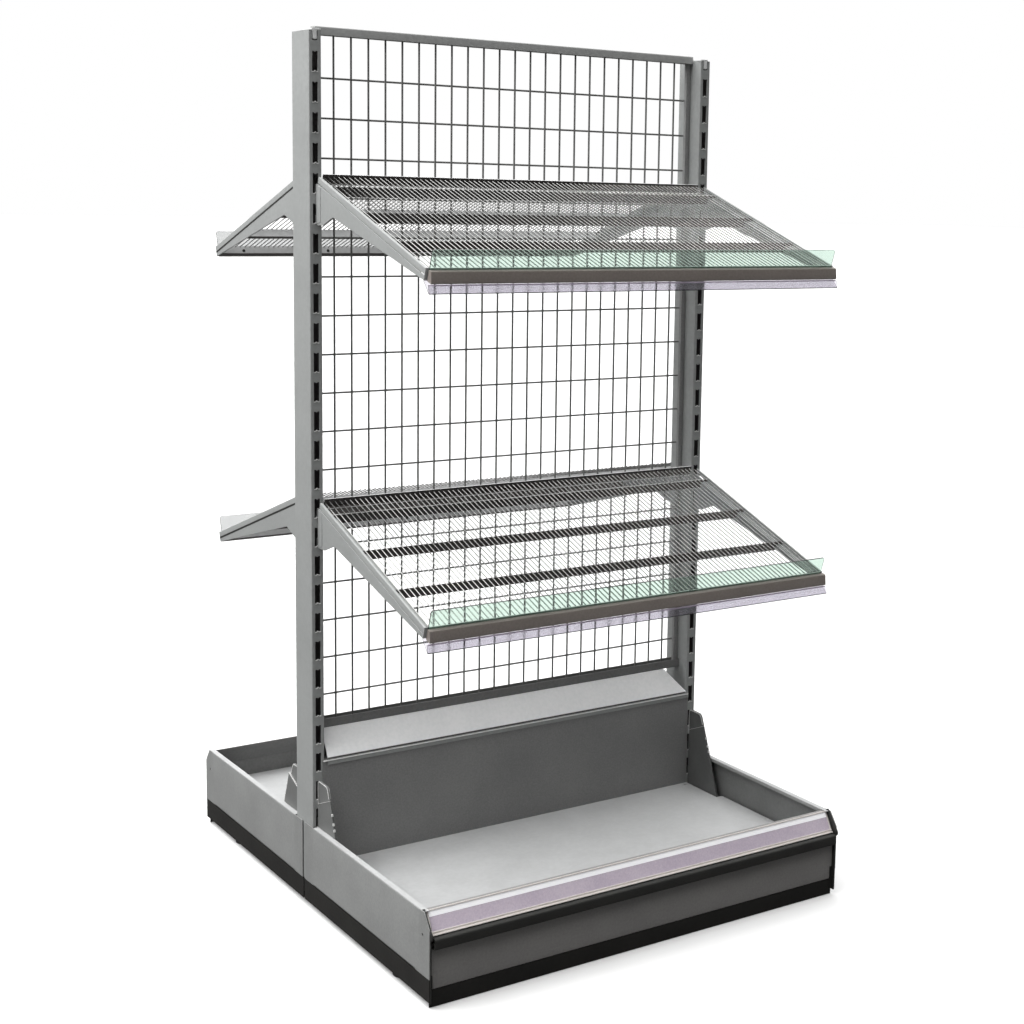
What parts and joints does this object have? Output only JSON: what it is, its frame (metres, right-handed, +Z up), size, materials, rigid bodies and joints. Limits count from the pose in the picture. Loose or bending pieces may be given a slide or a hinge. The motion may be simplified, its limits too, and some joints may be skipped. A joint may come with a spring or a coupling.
{
  "type": "double-sided wire shelving bay",
  "caption": "Free-standing double-sided display bay: slotted uprights, wire mesh back, sloping wire shelves with clear front plates and a base tray on each side.",
  "frame": {"origin": "on the floor, midway between the two uprights and in the middle plane of the mesh back", "axes": "+X along the bay to the right seen from the front, +Y to the back, +Z up; the side with the bumper and ticket strips faces -Y"},
  "size_m": [0.827, 0.963, 1.529],
  "materials": {
    "light_grey_paint": "light grey powder coat, satin",
    "dark_grey_paint": "dark grey powder coat, satin",
    "mesh_paint": "mid grey powder coat on welded wire",
    "pale_wire": "zinc-plated drawn wire",
    "black_paint": "black powder coat, matt",
    "black_rubber": "soft black bumper strip",
    "black_plastic": "moulded black plastic",
    "zinc_steel": "zinc-plated screw",
    "clear_plate": "clear plate with a faint green edge",
    "clear_strip": "clear extruded plastic",
    "ticket_plastic": "pale lavender card behind clear plastic",
    "pale_plastic": "pale grey moulded hook"
  },
  "bodies": {
    "frame": {"back_deck": "light_grey_paint", "back_kick_panel": "dark_grey_paint", "back_ledge": "light_grey_paint", "back_leg_left": "light_grey_paint", "back_leg_right": "light_grey_paint", "back_panel": "dark_grey_paint", "back_plinth": "black_paint", "back_side_left": "light_grey_paint", "back_side_right": "light_grey_paint", "front_base_ticket_strip": "ticket_plastic", "front_bumper": "black_rubber", "front_deck": "light_grey_paint", "front_end_caps": "black_plastic", "front_kick_panel": "dark_grey_paint", "front_ledge": "light_grey_paint", "front_leg_left": "light_grey_paint", "front_leg_right": "light_grey_paint", "front_panel": "dark_grey_paint", "front_plinth": "black_paint", "front_side_left": "light_grey_paint", "front_side_right": "light_grey_paint", "mesh_rails": "mesh_paint", "mesh_stiles": "mesh_paint", "mesh_top_hooks": "pale_plastic", "mesh_wires": "mesh_paint", "side_plinths": "black_paint", "upright_left": "light_grey_paint", "upright_right": "light_grey_paint"},
    "shelf_back_lower": {"back_lower_bracket_left": "light_grey_paint", "back_lower_bracket_right": "light_grey_paint", "back_lower_frame": "light_grey_paint", "back_lower_riser": "clear_plate", "back_lower_wires": "pale_wire"},
    "pad_back_left": {"back_pad_left": "black_plastic"},
    "pad_back_right": {"back_pad_right": "black_plastic"},
    "screw_back_left": {"back_screw_left": "zinc_steel"},
    "screw_back_right": {"back_screw_right": "zinc_steel"},
    "shelf_back_upper": {"back_upper_bracket_left": "light_grey_paint", "back_upper_bracket_right": "light_grey_paint", "back_upper_frame": "light_grey_paint", "back_upper_riser": "clear_plate", "back_upper_wires": "pale_wire"},
    "shelf_front_lower": {"front_lower_bracket_left": "light_grey_paint", "front_lower_bracket_right": "light_grey_paint", "front_lower_frame": "light_grey_paint", "front_lower_profile": "dark_grey_paint", "front_lower_riser": "clear_plate", "front_lower_ticket_strip": "clear_strip", "front_lower_wires": "pale_wire"},
    "pad_front_left": {"front_pad_left": "black_plastic"},
    "pad_front_right": {"front_pad_right": "black_plastic"},
    "screw_front_left": {"front_screw_left": "zinc_steel"},
    "screw_front_right": {"front_screw_right": "zinc_steel"},
    "shelf_front_upper": {"front_upper_bracket_left": "light_grey_paint", "front_upper_bracket_right": "light_grey_paint", "front_upper_frame": "light_grey_paint", "front_upper_profile": "dark_grey_paint", "front_upper_riser": "clear_plate", "front_upper_ticket_strip": "clear_strip", "front_upper_wires": "pale_wire"}
  },
  "joints": [
    {"name": "unhook_front_upper", "type": "hinge", "parent": "frame", "child": "shelf_front_upper", "pos_m": [0, -0.034, 1.253], "axis": [-1, 0, 0], "range_deg": [0, 12]},
    {"name": "unhook_front_lower", "type": "hinge", "parent": "frame", "child": "shelf_front_lower", "pos_m": [0, -0.034, 0.703], "axis": [-1, 0, 0], "range_deg": [0, 12]},
    {"name": "unhook_back_upper", "type": "hinge", "parent": "frame", "child": "shelf_back_upper", "pos_m": [0, 0.034, 1.253], "axis": [1, 0, 0], "range_deg": [0, 12]},
    {"name": "unhook_back_lower", "type": "hinge", "parent": "frame", "child": "shelf_back_lower", "pos_m": [0, 0.034, 0.703], "axis": [1, 0, 0], "range_deg": [0, 12]},
    {"name": "level_front_left", "type": "slide", "parent": "frame", "child": "pad_front_left", "axis": [0, 0, 1], "range_m": [-0.012, 0.009]},
    {"name": "turn_front_left", "type": "hinge", "parent": "pad_front_left", "child": "screw_front_left", "pos_m": [-0.386, -0.34, 0.02], "axis": [0, 0, 1], "range_deg": [-2470, 1853]},
    {"name": "level_front_right", "type": "slide", "parent": "frame", "child": "pad_front_right", "axis": [0, 0, 1], "range_m": [-0.012, 0.009]},
    {"name": "turn_front_right", "type": "hinge", "parent": "pad_front_right", "child": "screw_front_right", "pos_m": [0.386, -0.34, 0.02], "axis": [0, 0, 1], "range_deg": [-2470, 1853]},
    {"name": "level_back_left", "type": "slide", "parent": "frame", "child": "pad_back_left", "axis": [0, 0, 1], "range_m": [-0.012, 0.009]},
    {"name": "turn_back_left", "type": "hinge", "parent": "pad_back_left", "child": "screw_back_left", "pos_m": [-0.386, 0.34, 0.02], "axis": [0, 0, 1], "range_deg": [-2470, 1853]},
    {"name": "level_back_right", "type": "slide", "parent": "frame", "child": "pad_back_right", "axis": [0, 0, 1], "range_m": [-0.012, 0.009]},
    {"name": "turn_back_right", "type": "hinge", "parent": "pad_back_right", "child": "screw_back_right", "pos_m": [0.386, 0.34, 0.02], "axis": [0, 0, 1], "range_deg": [-2470, 1853]}
  ],
  "couplings": [
    {"joint": "turn_front_left", "follows": "level_front_left", "rad_per_m": 3590.4},
    {"joint": "turn_front_right", "follows": "level_front_right", "rad_per_m": 3590.4},
    {"joint": "turn_back_left", "follows": "level_back_left", "rad_per_m": 3590.4},
    {"joint": "turn_back_right", "follows": "level_back_right", "rad_per_m": 3590.4}
  ]
}
